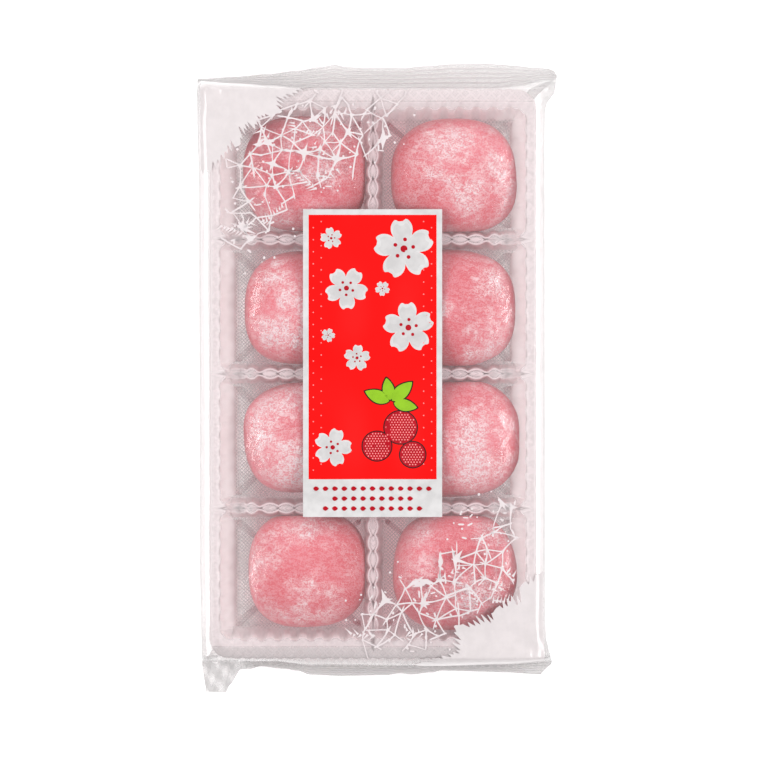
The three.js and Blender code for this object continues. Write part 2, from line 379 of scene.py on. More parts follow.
def tray_plastic():
    """Clear sheet with a mirror gloss that grows as it turns away, over a haze that whitens it.

    The haze is 0.26, and more along folds, at a slant, on the knurled lines of floors and end flanges,
    in scuffs on the flange and over the partitions; less on the floors and in the flanges' bend lines.
    """
    material, tree, place = new_material("tray_plastic")
    x, y, z = node(tree, "SeparateXYZ", {0: place}).outputs
    aside = calculate(tree, "SUBTRACT", x, (PACK_SHIFT[0] + TRAY_SHIFT[0]) * MM)
    from_middle = calculate(tree, "SUBTRACT", y, (PACK_SHIFT[1] + TRAY_SHIFT[1]) * MM)
    reach_x, reach_y = (calculate(tree, "ABSOLUTE", way) for way in (aside, from_middle))
    on_floor = ramp(tree, z, 9 * MM, CELL_FLOOR_Z * MM + 0.5 * MM)
    on_top = ramp(tree, z, 15.6 * MM, 16.5 * MM)
    on_flange = ramp(tree, z, 20.6 * MM, 22.4 * MM)
    past_bend = ramp(tree, reach_y, (BEND_Y - 0.5) * MM, (BEND_Y + 0.5) * MM)
    on_end = times(tree, past_bend, ramp(tree, z, 20 * MM, 21.5 * MM))
    painted_shade_lower_end = ramp(tree, from_middle, -(BEND_Y - 0.5) * MM, -(BEND_Y + 0.5) * MM)
    near_side = ramp(tree, reach_y, (BEND_Y - 0.4) * MM, (BEND_Y - 0.15) * MM)
    bend_line = times(tree, near_side, ramp(tree, reach_y, (BEND_Y + 0.25) * MM, BEND_Y * MM))

    fine = diamond_lattice(tree, place, FLOOR_LATTICE, 0.75)
    between_lines = times(tree, diamond_lattice(tree, place, END_LATTICE / 4, 0.6), 0.5)
    coarse = calculate(tree, "MAXIMUM", diamond_lattice(tree, place, END_LATTICE, 0.85), between_lines)
    knurl = total(tree, 0.0, (fine, on_floor), (coarse, on_end))
    blotches = ramp(tree, noise(tree, place, 420.0, 3.0, 0.6), 0.36, 0.62)
    scuffed = times(tree, on_flange, blotches)
    bump = relief(tree, total(tree, knurl, (noise(tree, place, 900.0, 3.0), 0.35)), 0.5, 0.12)

    # Between the cakes the sheet's tint and milk are pinker and darker, a painted shade with painted pink
    # light from the cakes, and its outer walls are milky.
    inner = ramp(tree, reach_y, 89 * MM, 84 * MM)
    painted_pink_bounce = times(tree, inner, ramp(tree, reach_x, 44 * MM, 36 * MM))
    tint = blend(tree, painted_pink_bounce, (0.985, 0.965, 0.967, 1), (0.86, 0.66, 0.69, 1))
    thickness = total(tree, 0.0, (on_top, 0.45), (on_flange, 0.3))
    sheet, facing = thin_sheet(tree, tint, (0.82, 0.73, 0.745, 1), 0.3, bump, thickness)
    steep = ramp(tree, facing, 0.4, 0.75)
    # On steep walls the milk is paler: painted light that lifts the shade on them.
    milk = blend(tree, steep, (0.8, 0.72, 0.732, 1), (0.93, 0.86, 0.866, 1))
    milk = blend(tree, painted_pink_bounce, milk, (0.8, 0.66, 0.68, 1))
    # Towards the lower end the milk is darker: a painted shade.
    milk = blend(tree, painted_shade_lower_end, milk, (0.6, 0.55, 0.555, 1))
    glow = node(tree, "BsdfTranslucent", {"Color": milk}).outputs[0]
    haze = blend_finish(tree, times(tree, steep, 0.6), body(tree, milk, 0.6, bump), glow)

    fold = kept_share(tree)
    slant = calculate(tree, "POWER", facing, 2.0)
    amount = total(
        tree, 0.26, (fold, 0.8), (slant, 0.4), (knurl, 0.3), (scuffed, 0.15), (on_top, 0.25),
        (on_floor, -0.16), (bend_line, -0.4),
    )
    amount = node(tree, "Clamp", {"Value": amount, "Min": 0.0, "Max": 0.92}).outputs[0]
    return finished(material, blend_finish(tree, amount, sheet, haze))


row_edges = [-FLANGE_Y, -ROW_PITCH, 0.0, ROW_PITCH, FLANGE_Y]
cells = [
    tray_cell(*sorted((0.0, side * FLANGE_X)), *row_edges[row : row + 2])
    for side in (-1, 1)
    for row in range(4)
]
tray_folds = np.concatenate([folds for _, _, folds in cells])
tray_points, tray_faces = joined([cell[:2] for cell in cells])
make_piece("tray", tray_points + TRAY_SHIFT, tray_faces, tray_plastic(), "clear_tray", folds=tray_folds)

# ----------------------------------------------------------------------------------------------------
# The cakes. Eight balls of soft pink rice dough, rolled in white starch and set down in the cells, where
# each has slumped into a rounded square. All have slid a little to the right in their cells.
# ----------------------------------------------------------------------------------------------------

CAKE_HEIGHT = 24.2
CAKE_SIZES = {  # middle x, middle y, width and length of each
    "cake_upper_left": (-22.2, 65.6, 41.0, 38.4),
    "cake_second_left": (-22.0, 21.0, 41.2, 37.6),
    "cake_third_left": (-22.2, -21.8, 41.0, 36.6),
    "cake_lower_left": (-21.4, -65.6, 39.8, 38.4),
    "cake_upper_right": (27.0, 64.6, 41.6, 38.4),
    "cake_second_right": (26.8, 21.0, 41.6, 38.6),
    "cake_third_right": (28.0, -22.2, 42.0, 38.8),
    "cake_lower_right": (27.4, -66.0, 40.8, 38.8),
}
BELLY_HEIGHT = 0.44 * CAKE_HEIGHT  # where a cake is widest
PLAN_POWER, UPPER_POWER, LOWER_POWER = 2.5, 2.35, 3.6  # 2 is round, more is squarer
CAKE_TURNS, CAKE_LEVELS = 150, 74


def held_in(place, height, wall, way, rim_z, inset, draft):
    """Coordinates kept 0.2 inside the cell's wall that lies the given way, +1 or -1, at coordinate wall."""
    share = np.clip((rim_z - height) / (rim_z - CELL_FLOOR_Z), 0, 1)
    limit = wall - way * (wall_stand(share, inset, draft) + 0.2)
    return np.where(way * place > way * limit, limit, place)


def cake_shape(middle_x, middle_y, width, length, luck):
    """A superellipse in plan, carried up a profile that is rounder above and squarer below, and lumpy.

    Returns its points, its faces and the share of starch left on it: all but on the flank towards the
    pack's middle, where the low share also darkens the dough as painted shade.
    """
    around = np.linspace(0, 2 * np.pi, CAKE_TURNS, endpoint=False)[None, :]
    rise = np.linspace(-np.pi / 2, np.pi / 2, CAKE_LEVELS)[:, None]
    round_x, round_y = np.abs(np.cos(around) * 2 / width), np.abs(np.sin(around) * 2 / length)
    plan = (round_x**PLAN_POWER + round_y**PLAN_POWER) ** (-1 / PLAN_POWER)
    upper = rise > 0
    power = np.where(upper, 2 / UPPER_POWER, 2 / LOWER_POWER)
    reach = np.clip(np.cos(rise), 0, 1) ** power
    level = np.sign(rise) * np.abs(np.sin(rise)) ** power
    z = BELLY_HEIGHT + np.where(upper, CAKE_HEIGHT - BELLY_HEIGHT, BELLY_HEIGHT) * level + 0 * around
    x, y = reach * plan * np.cos(around), reach * plan * np.sin(around)
    lump = sum(
        size * np.sin(kx * x / 9 + phase) * np.cos(ky * y / 9 + 2 * phase) * np.sin(kz * z / 8 + 3 * phase)
        for size, kx, ky, kz, phase in zip(
            (0.45, 0.35, 0.25, 0.16, 0.12), *luck.uniform(0.4, 2.3, (3, 5)), luck.uniform(0, 6.3, 5)
        )
    )
    swell = 1 + lump / 20 * reach
    place_x, place_y = middle_x + x * swell, middle_y + y * swell
    height = CELL_FLOOR_Z + 0.15 + z + lump * upper * 0.6
    # The walls of its cell hold the soft dough in.
    side = np.sign(middle_x)
    outer_wall, inner_wall = TRAY_SHIFT[0] + side * OPENING_X, TRAY_SHIFT[0]
    end_wall, partition = (FLANGE_Z, 2 * END_FLUTES, END_DRAFT), (PARTITION_Z, LENS, PARTITION_DRAFT)
    place_x = held_in(place_x, height, outer_wall, side, FLANGE_Z, 2 * SIDE_FLUTES, SIDE_DRAFT)
    place_x = held_in(place_x, height, inner_wall, -side, *partition)
    row = np.searchsorted(row_edges, middle_y) - 1
    for edge, way in zip(row_edges[row : row + 2], (-1, 1)):
        wall, kind = (way * OPENING_Y, end_wall) if abs(edge) > OPENING_Y else (edge, partition)
        place_y = held_in(place_y, height, TRAY_SHIFT[1] + wall, way, *kind)
    points = np.stack([place_x, place_y, height], -1)
    # Less starch and a darker dough on the flank towards the pack's middle: painted shade.
    starch_and_painted_shade = smooth(side * x / width + 0.15 * y / length + 0.02 * lump, -0.46, -0.05)
    return points.reshape(-1, 3), grid_faces(CAKE_LEVELS, CAKE_TURNS, closed=True), starch_and_painted_shade


def dusted_dough():
    """Pink dough that light sinks into, under starch in drifts, rubbed streaks and single grains.

    The drifts lie on top and where the "fold" attribute says that starch is left. Where it says none, on
    the flank towards the pack's middle, the dough is also darker: painted shade. The starch's cover is
    grain * (0.22 + 0.62 drift) + 0.24 drift.
    """
    material, tree, place = new_material("dusted_dough")
    turned = {"Vector": place, "Rotation": (0, 0, 0.6), "Scale": (1, 1.7, 1)}
    stretched = node(tree, "Mapping", turned).outputs[0]
    drifts = noise(tree, place, 55.0, 6.0, 0.66)
    streaks = noise(tree, stretched, 520.0, 5.0, 0.75, 0.8)
    grains = noise(tree, place, 2100.0, 2.0, 0.7)
    mottle = noise(tree, place, 48.0, 3.0)
    starch_and_painted_shade = kept_share(tree)
    on_top = ramp(tree, node(tree, "SeparateXYZ", {0: place}).outputs["Z"], 12 * MM, 23 * MM)
    drift = times(tree, ramp(tree, drifts, 0.4, 0.62), calculate(tree, "ADD", on_top, 0.15))
    drift = times(tree, drift, total(tree, 0.2, (starch_and_painted_shade, 0.8)))
    grain = ramp(tree, total(tree, 0.0, (streaks, 0.55), (grains, 0.45)), 0.43, 0.57)
    cover = total(tree, 0.0, (grain, total(tree, 0.22, (drift, 0.62))), (drift, 0.24))
    # The dough is paler by mottle and by the starch share, so darker on the flank towards the middle:
    # painted shade.
    pale = total(tree, 0.0, (ramp(tree, mottle, 0.35, 0.65), 0.55), (starch_and_painted_shade, 0.45))
    dough = blend(tree, pale, (0.66, 0.07, 0.1, 1), (0.82, 0.19, 0.235, 1))
    skin = body(
        tree,
        blend(tree, cover, dough, (0.97, 0.76, 0.79, 1)),
        0.85,
        relief(tree, total(tree, 0.0, (cover, 0.6), (drifts, 0.8)), 0.55, 0.35),
        Subsurface_Weight=0.2,
        Subsurface_Radius=(1.0, 0.35, 0.3),
        Subsurface_Scale=3.0 * MM,
        Sheen_Weight=0.35,
        Sheen_Roughness=0.5,
        Sheen_Tint=(1, 0.86, 0.87, 1),
    )
    return finished(material, skin)


dough = dusted_dough()
lump_luck = np.random.default_rng(8)
for cake_name, cake_size in CAKE_SIZES.items():
    cake_points, cake_faces, starch_and_painted_shade = cake_shape(*cake_size, lump_luck)
    make_piece(cake_name, cake_points, cake_faces, dough, "rice_cake", folds=starch_and_painted_shade)

# ----------------------------------------------------------------------------------------------------
# The film wrap. One web of clear film folded round the tray into a tube, lapped and sealed along the back,
# then crimped shut and cut across both ends. It is drawn tight over the cakes, and its sides tuck in
# towards the seals.
# ----------------------------------------------------------------------------------------------------

RIM_HEIGHT, CROWN = 23.5, 0.6
CAKE_BULGE, BULGE_HALF_WIDTH, BULGE_TOP, BULGE_FOOT, BULGE_SQUARENESS = 2.2, 20.5, 0.4, 1.15, 2.5
BULGE_COLUMNS, BULGE_ROWS = (-22.0, 27.2), (-65.8, -22.0, 21.0, 65.0)
BASE_HALF_WIDTH, BASE_HALF_LENGTH = 50.5, 87.0
SHOULDER_RADIUS, BACK_EDGE_RADIUS = 4.0, 2.5
UPPER_SHOULDER, LOWER_SHOULDER = 93.2, 94.4  # where the front turns down, from the middle
CHANNEL_HALF_WIDTH, CHANNEL_DEPTH = 8.0, 0.9
SEAM_LEFT, SEAM_RIGHT, SEAM_THICKNESS = -1.0, 7.5, 0.5
SEAL_THICKNESS, SEAL_HEIGHT = 0.8, 11.0
CRIMP_RIBS, CRIMP_HEIGHT = 5, 0.3
TUCK_DEPTH, TUCK_START_Y = 8.0, 66.0
TURN_LENGTH, SEAL_LENGTH = 13.0, 7.0  # of film down from a shoulder to its seal, and across the seal
PANEL_POINTS = 121  # across the front and the back

# Pairs: the pack's left and right half-width at y, then for each end seal its root and its cut edge,
# as distances from the middle, and how far it droops, all three at x.
LEFT_EDGE = ((-101, 55.3), (-97.6, 56.4), (-60, 57), (60, 57.3), (83, 57.8), (97, 58))
RIGHT_EDGE = (
    (-101, 56.2), (-97.6, 59.6), (-92.5, 58.3), (-88, 57.5), (-80, 57.2), (78, 57.1), (86, 57.2),
    (88.5, 57.6), (92, 59.4), (94.2, 61.1), (95.5, 61.4), (100.8, 60.6),
)
UPPER_SEAL = (
    ((-58, 96.2), (-45, 95.5), (-32, 94.7), (-25, 93.9), (-18, 94.3), (40, 94.2), (49, 95.3), (57, 97),
     (61, 97.3)),
    ((-58, 97.3), (-47, 97.9), (-35, 98.8), (-25, 100), (-17, 101.1), (-12.5, 101.8), (-8, 101),
     (1, 100.7), (10, 100.7), (18, 101.3), (27, 102), (38, 102.1), (46, 101.6), (54, 100.8), (58, 100.6),
     (61, 99.6)),
    ((-58, 6), (-30, 5), (-10, 2.5), (30, 1.2), (61, 1.5)),
)
LOWER_SEAL = (
    ((-56, 96.3), (-43, 96), (-33, 96), (-20, 97.3), (20, 97.6), (45, 97), (59, 96)),
    ((-56, 106.5), (-48.6, 106.6), (-47.2, 103.8), (-43.6, 98.9), (-40.5, 98.7), (-37, 97.9), (-29, 98.7),
     (-25, 99.3), (-20.5, 100.7), (-10, 101.1), (5, 100.8), (9, 100.2), (13, 100.6), (20, 99.9),
     (23, 99.3), (42, 99.8), (56, 100.6)),
    ((-56, 7), (-46, 6), (-38, 4.5), (-20, 5), (0, 5.5), (40, 5.2), (59, 4.5)),
)


def along(pairs, place):
    """Reads a list of (place, value) pairs, with a smooth step between neighbours."""
    value = pairs[0][1] + 0 * np.asarray(place, float)
    for (start, low), (end, high) in zip(pairs, pairs[1:]):
        value = np.where(place > start, low + (high - low) * smooth(place, start, end), value)
    return value


def seal_line(which, run, x):
    """Root, cut edge or droop of the end seals at x: the upper seal's where run is above 0."""
    return np.where(run > 0, along(UPPER_SEAL[which], x), along(LOWER_SEAL[which], x))


def from_shoulder(run):
    """The shoulder's distance from the middle at the end that run lies towards, and the length past it."""
    shoulder = np.where(run > 0, UPPER_SHOULDER, LOWER_SHOULDER)
    return shoulder, np.abs(run) - shoulder


def front_height(x, y):
    """Height of the front film: a crown falling to the rim, a bulge on each cake, and drawn wrinkles."""
    shoulder, past = from_shoulder(y)
    across = np.clip(x / BASE_HALF_WIDTH, -1, 1)
    height = RIM_HEIGHT + CROWN * (1 - across**4) * (1 - (y / shoulder) ** 4)
    for cake_x in BULGE_COLUMNS:
        for cake_y in BULGE_ROWS:
            powers = np.abs(x - cake_x) ** BULGE_SQUARENESS + np.abs(y - cake_y) ** BULGE_SQUARENESS
            reach = powers ** (1 / BULGE_SQUARENESS) / BULGE_HALF_WIDTH
            height = height + CAKE_BULGE * (1 - smooth(reach, BULGE_TOP, BULGE_FOOT))
    # Gathers run in from each seal and die out; fine creases fan from the corners.
    near_end = np.exp(past / 7)
    gathers = 0.16 * np.sin(x * 0.9 + 1.3 * np.sin(x * 0.21)) + 0.1 * np.sin(x * 2.3 + 2)
    corner_x, corner_y = 61 - np.abs(x), shoulder + 3 - np.abs(y)
    spread = np.hypot(corner_x, corner_y)
    fan = np.arctan2(corner_y, corner_x)
    creases = 0.3 * smooth(spread, 3, 11) * np.exp(-((spread / 19) ** 2))
    creases = creases * np.sin(9 * fan + 0.7 * np.sign(x) + 1.9 * np.sign(y))
    return height + 0.15 * np.sin(y * 0.12) * (1 - np.abs(across)) + gathers * near_end + creases


def on_ear(x, run):
    """1 on the loose flap at the lower left corner, which is creased instead of ribbed, and 0 off it."""
    return smooth(-x, 38, 46) * (run < 0)


def wrap_point(run, x, level):
    """A point of the tube: run is the length along the film, level 1 on the front and 0 on the back.

    The body lies flat to the shoulder. From there the front falls on a quarter ellipse and the back
    rises on a parabola to the root of the seal, and both run on together, ribbed, to the cut edge.
    """
    side, (shoulder, past) = np.sign(run), from_shoulder(run)
    turn = np.clip(past / TURN_LENGTH, 0, 1)
    seal = np.clip((past - TURN_LENGTH) / SEAL_LENGTH, 0, 1)
    root, edge, drop = (seal_line(which, run, x) for which in range(3))
    half = SEAL_THICKNESS / 2
    top = front_height(x, np.clip(run, -LOWER_SHOULDER, UPPER_SHOULDER))
    ear = on_ear(x, run)
    rib = CRIMP_HEIGHT * (1 - ear) * np.sin(2 * np.pi * CRIMP_RIBS * seal) - drop * seal
    rib = rib + 0.45 * ear * seal * np.sin(1.3 * x + 4 * seal)
    rib = rib + seal * (0.35 * np.sin(x * 0.33 + side) + 0.2 * np.sin(x * 0.83 + 2 * side))
    fallen = np.minimum(np.abs(run), shoulder) + (root - shoulder) * np.sin(turn * np.pi / 2)
    front_y = side * (fallen + (edge - root) * seal)
    front_z = SEAL_HEIGHT + half + (top - SEAL_HEIGHT - half) * np.cos(turn * np.pi / 2) + rib
    past_base = np.clip(np.abs(run), 0, BASE_HALF_LENGTH) + (root - BASE_HALF_LENGTH) * turn
    channel = CHANNEL_DEPTH * (1 - smooth(np.abs(x), CHANNEL_HALF_WIDTH, CHANNEL_HALF_WIDTH + 3))
    on_seam = smooth(x, SEAM_LEFT - 0.3, SEAM_LEFT) * (1 - smooth(x, SEAM_RIGHT, SEAM_RIGHT + 0.3))
    floor = channel - on_seam * np.minimum(SEAM_THICKNESS, channel)
    back_y = side * (past_base + (edge - root) * seal)
    back_z = floor + (SEAL_HEIGHT - half - floor) * turn**2 + rib
    return back_y + (front_y - back_y) * level, back_z + (front_z - back_z) * level


def wrap_section(run):
    """Half-widths left and right, depth and rounding radii of the tube at run along the film."""
    shoulder, past = from_shoulder(run)
    turn = np.clip(past / TURN_LENGTH, 0, 1)
    seal = np.clip((past - TURN_LENGTH) / SEAL_LENGTH, 0, 1)
    root, edge = seal_line(0, run, 0.0), seal_line(1, run, 0.0)
    y = np.sign(run) * (np.minimum(np.abs(run), shoulder) + (root - shoulder) * turn + (edge - root) * seal)
    left, right = along(LEFT_EDGE, y), along(RIGHT_EDGE, y)
    _, top = wrap_point(run, right, 1.0)
    _, low = wrap_point(run, right, 0.0)
    depth = top - low
    radius = np.minimum(SHOULDER_RADIUS, depth * 0.4)
    foot = np.minimum(BACK_EDGE_RADIUS, depth * 0.3)
    return left, right, depth, radius, foot, turn


def film_front(x, run):
    """Points on the wrap's front for flat print places; past the flat they run down round the side."""
    left, right, depth, radius, _, _ = wrap_section(run)
    width = np.where(x > 0, right, left)
    turn = np.clip((np.abs(x) - (width - radius)) / radius, 0, np.pi / 2)
    place = np.where(turn > 0, np.sign(x) * (width - radius * (1 - np.sin(turn))), x)
    y, z = wrap_point(run, place, 1 - radius / depth * (1 - np.cos(turn)))
    return np.stack([place + 0 * y, y, z], -1)


def wrap_shape():
    """The whole tube: front panel, sides and back panel at each station, closed at both cut edges.

    Returns its points, its faces and the share of haze of each point: in the seals, rib by rib as painted
    shade of the ribs, pleat by pleat on the loose flap as whitened film and painted shade of its creases,
    and in the webs of stretched film beside them.
    """
    flat = np.linspace(-LOWER_SHOULDER, UPPER_SHOULDER, 150)
    turn = TURN_LENGTH * np.linspace(0, 1, 15)[1:]
    end = np.concatenate([turn, TURN_LENGTH + SEAL_LENGTH * np.linspace(0, 1, 41)[1:]])
    run = np.concatenate([-LOWER_SHOULDER - end[::-1], flat, UPPER_SHOULDER + end])[:, None]
    left, right, depth, radius, foot, turned = wrap_section(run)
    low_left = left + (BASE_HALF_WIDTH - left) * (1 - turned)
    low_right = right + (BASE_HALF_WIDTH - right) * (1 - turned)
    drawn_in = smooth(np.abs(run), TUCK_START_Y, from_shoulder(run)[0])
    tuck = TUCK_DEPTH * (0.65 * np.sin(turned * np.pi) + 0.35 * drawn_in) * (1 - turned**3)

    panel = np.linspace(-1, 1, PANEL_POINTS)[None, :]
    columns = []

    def add(x, level):
        y, z = wrap_point(run, x, level)
        columns.append(np.stack([x + 0 * y, y, z], -1))

    def side_wall(width, low, sign):
        """Shoulder, tucked wall and foot of one side, from the front edge down to the back edge."""
        turns = np.linspace(0, np.pi / 2, 8)[None, 1:]
        shoulder = (sign * (width - radius * (1 - np.sin(turns))), 1 - radius / depth * (1 - np.cos(turns)))
        share = np.linspace(0, 1, 10)[None, 1:-1]
        high_level, low_level = 1 - radius / depth, foot / depth * 0.3
        level = high_level + (low_level - high_level) * share
        fold = tuck * (1 - np.abs(2 * level - 1)) ** 1.4
        wall = (sign * (low + (width - low) * level - fold), level)
        bottom = (sign * (low - foot * 0.3), low_level + 0 * low)
        stages = zip(shoulder, wall, bottom)
        return [np.concatenate([part + 0 * run for part in parts], 1) for parts in stages]

    def cap(loop):
        """One cut edge closed on the line midway between its front and its back."""
        front, middle = loop[:PANEL_POINTS], loop.copy()
        middle[:, 2] = np.interp(loop[:, 0], front[:, 0], front[:, 2]) - SEAL_THICKNESS / 2
        return middle[None]

    add(np.where(panel < 0, panel * (left - radius), panel * (right - radius)), 1.0)
    add(*side_wall(right, low_right, 1))
    back = panel[:, ::-1]
    add(np.where(back < 0, back * (low_left - foot), back * (low_right - foot)), 0.0)
    x, level = side_wall(left, low_left, -1)
    add(x[:, ::-1], level[:, ::-1])
    loops = np.concatenate(columns, 1)
    loops = np.concatenate([cap(loops[0]), loops, cap(loops[-1])])
    run = np.concatenate([run[:1], run, run[-1:]])
    x, y, _ = np.moveaxis(loops, -1, 0)
    past = from_shoulder(run)[1] - TURN_LENGTH
    # The haze rises and falls rib by rib, a painted shade of the ribs; on the flap it follows the pleats,
    # whitened film and painted shade of the creases.
    painted_rib_shade = 0.86 + 0.14 * np.cos(2 * np.pi * CRIMP_RIBS * past / SEAL_LENGTH)
    ear = on_ear(x, run)
    pleats = 0.92 + 0.35 * np.sin(0.9 * (x + y)) + 0.25 * np.sin(1.7 * x - 0.5 * y) + 0.15 * np.sin(3.1 * x)
    web = 0.75 * np.exp(-(((np.abs(x) - 60) / 8) ** 2) - ((np.abs(y) - 93) / 8) ** 2)
    folds = np.maximum(smooth(past, -1.5, 0.5) * (painted_rib_shade + (pleats - painted_rib_shade) * ear), web)
    return loops.reshape(-1, 3), grid_faces(len(loops), loops.shape[1], closed=True), folds


def clear_film():
    """Thin glossy film: see-through, a mirror gloss at a slant, and a little haze.

    The haze is greyer in the seals and webs, and on a strip by the lower seal pressed with diamond lines.
    """
    material, tree, place = new_material("clear_film")
    bump = relief(tree, noise(tree, place, 130.0, 4.0, 0.5, 1.2), 0.35, 0.8)
    sheet, _ = thin_sheet(tree, (0.985, 0.975, 0.975, 1), (0.6, 0.59, 0.59, 1), 0.16, bump)
    haze = body(tree, (0.59, 0.57, 0.57, 1), 0.35, bump)
    y = node(tree, "SeparateXYZ", {0: place}).outputs["Y"]
    from_middle = calculate(tree, "SUBTRACT", y, PACK_SHIFT[1] * MM)
    above = ramp(tree, from_middle, -98.6 * MM, -97.6 * MM)
    below = ramp(tree, from_middle, -93.2 * MM, -94.2 * MM)
    pressed = times(tree, times(tree, below, above), diamond_lattice(tree, place, 1.9, 0.6))
    amount = total(tree, 0.035, (kept_share(tree), 0.37), (pressed, 0.14))
    return finished(material, blend_finish(tree, amount, sheet, haze))


film_points, film_faces, film_folds = wrap_shape()
make_piece("film_wrap", film_points, film_faces, clear_film(), "clear_film", merge=1e-6, folds=film_folds)

# ----------------------------------------------------------------------------------------------------
# The frost print. White ink on the front film: a solid field across the upper left and the lower right
# corner, with a torn, needled edge, and beside each a web of fibres with knots, needles and flecks, as in
# handmade paper.
# ----------------------------------------------------------------------------------------------------

PRINT_LIFT = 0.09  # above the film, so that the ink shows
KNOT_PITCH, KNOT_JITTER = (5.1, 4.4), 2.2
WEB_BOUNDS = (49.5, 92.5)  # the web keeps to the flat front


def ink_patch(x, run, lift):
    """A grid of flat print places laid on the film's front, lifted along the film's own slope."""
    step = 0.05
    here = film_front(x, run)
    out = np.cross(film_front(x + step, run) - here, film_front(x, run + step) - here)
    out = out / (np.linalg.norm(out, axis=-1, keepdims=True) + 1e-12)
    points = here + lift * out
    return points.reshape(-1, 3), grid_faces(*x.shape)


def strips(start, way, length, half_width, bow=0.0, steps=9):
    """Strips of ink, half_width(share) wide, from start along way, bowed by a share of their length.

    Each lies a hair above or below its neighbours, so that no two share a plane where they cross.
    """
    share = np.linspace(0, 1, steps)[None, :]
    way, length = np.asarray(way)[:, None], np.asarray(length)[:, None]
    bow = np.asarray(bow)[..., None] * length
    angle = way + np.arctan(bow / length * 4 * (1 - 2 * share))
    side = bow * 4 * share * (1 - share)
    x = start[:, :1] + length * share * np.cos(way) - side * np.sin(way)
    y = start[:, 1:] + length * share * np.sin(way) + side * np.cos(way)
    half = half_width(share) + 0 * x
    lift = PRINT_LIFT - 0.035 * ((7.3 * start[:, 0] + 3.1 * way[:, 0]) % 1)
    grids = []
    for row in range(len(start)):
        across = np.array([-1, 1])[:, None] * half[row]
        across_x, across_y = -across * np.sin(angle[row]), across * np.cos(angle[row])
        grids.append(ink_patch(x[row] + across_x, y[row] + across_y, lift[row]))
    return grids


def thread(width):
    """A drawn fibre: even, with both ends rounded off."""
    return lambda share: width[:, None] / 2 * (1 - np.abs(2 * share - 1) ** 12) ** 0.6


def thorn(width):
    """A ray of a knot or a needle: widest where it starts, hollow-sided and pointed."""
    return lambda share: width[:, None] / 2 * (1 - share) ** 1.3


def fleck(width):
    """A round dot or, longer than wide, a rice-shaped fleck."""
    return lambda share: width[:, None] / 2 * np.sqrt(np.clip(1 - (2 * share - 1) ** 2, 0, 1))


def neighbours(points):
    """Pairs of points with no third point in the circle on their gap, and the lengths of the gaps."""
    apart = ((points[:, None] - points) ** 2).sum(-1)
    first, second = np.triu_indices(len(points), 1)
    blocked = (apart[first] + apart[second] < apart[first, second][:, None] - 1e-9).any(1)
    return first[~blocked], second[~blocked], np.sqrt(apart[first, second][~blocked])


def fibre_web(corner_x, corner_run, outline, reach, luck):
    """A net of fibres in a belt round a corner field, from its edge out to reach, strays a tenth farther.

    Bowed threads join the neighbours in a jittered grid of knots, and some run on past them. Rays make
    stars of most knots. Rows of needles, rods and dots lie between.
    """
    corner, inwards = np.array([corner_x, corner_run]), -np.sign([corner_x, corner_run])
    degrees, radii = np.array(outline).T

    def in_belt(places, grow=0.0):
        out_x, out_run = ((places - corner) * inwards).T
        angle, radius = np.degrees(np.arctan2(out_run, out_x)), np.hypot(out_x, out_run)
        beyond = radius > np.interp(angle, degrees, radii) - 1.0
        bounded = (np.abs(places) < WEB_BOUNDS).all(1)
        end = reach * (1 + 0.08 * np.sin(5.3 * np.radians(angle)) + grow)
        return places[beyond & bounded & (radius < end)]

    def scatter(count, grow=0.0):
        return in_belt(corner + luck.uniform(0, 1, (count, 2)) * 75 * inwards, grow)

    rows = np.stack(np.meshgrid(*(np.arange(0, 80, pitch) for pitch in KNOT_PITCH)), -1)
    rows[1::2, :, 0] += 2.5
    rows += luck.uniform(-KNOT_JITTER, KNOT_JITTER, rows.shape)
    knots = in_belt(corner + rows.reshape(-1, 2) * inwards)
    first, second, apart = neighbours(knots)
    kept = (apart < 12) & (luck.uniform(0, 1, len(apart)) < 0.78)
    first, second, apart = first[kept], second[kept], apart[kept]
    gap = knots[second] - knots[first]
    way = np.arctan2(gap[:, 1], gap[:, 0])
    before, after = luck.exponential(1.7, (2, len(way))) * (luck.uniform(0, 1, (2, len(way))) < 0.45)
    start = knots[first] - np.stack([np.cos(way), np.sin(way)], -1) * before[:, None]
    width = luck.uniform(0.3, 0.54, len(way))
    bow = luck.uniform(-0.04, 0.04, len(way))
    grids = strips(start, way, apart + before + after, thread(width), bow, 13)
    for number, knot in enumerate(knots):
        rays = np.concatenate([way[first == number], way[second == number] + np.pi])
        size = luck.uniform(0.5, 1.0) if luck.uniform() < 0.82 else luck.uniform(1.3, 1.8)
        if len(rays) > 1 and luck.uniform() < 0.75:
            rays = np.concatenate([rays, luck.uniform(0, 2 * np.pi, 2 if size > 1 else 0)])
            spans, wide = luck.uniform(1.4, 2.8, len(rays)) * size, luck.uniform(0.8, 1.3, len(rays)) * size
            grids += strips(knot + 0 * rays[:, None], rays, spans, thorn(wide))
            heart = np.array([0.7 * size])
            grids += strips(knot - [[0.35 * size, 0]], [0.0], heart, fleck(heart))
    for spine in scatter(30):
        needles = luck.integers(4, 9)
        lean = luck.uniform(0, np.pi)
        step = luck.uniform(1.0, 1.35)
        start = spine + np.arange(needles)[:, None] * step * np.array([np.cos(lean), np.sin(lean)])
        side = np.where(luck.uniform() < 0.5, 1, (-1) ** np.arange(needles))
        way = lean + side * luck.uniform(0.8, 1.3) + luck.uniform(-0.15, 0.15, needles)
        lengths, widths = luck.uniform(1.6, 3.4, needles), luck.uniform(0.65, 0.95, needles)
        grids += strips(start, way, lengths, thorn(widths))
    places = scatter(110, 0.04)
    way = luck.uniform(0, np.pi, len(places))
    lengths, widths = (luck.uniform(*limits, len(places)) for limits in ((0.9, 2.8), (0.4, 0.65)))
    grids += strips(places, way, lengths, thread(widths), steps=7)
    places = scatter(150, 0.1)
    size = luck.uniform(0.4, 0.95, len(places))
    grids += strips(places - 0.5 * size[:, None] * [1, 0], 0 * size, size, fleck(size), steps=7)
    return grids


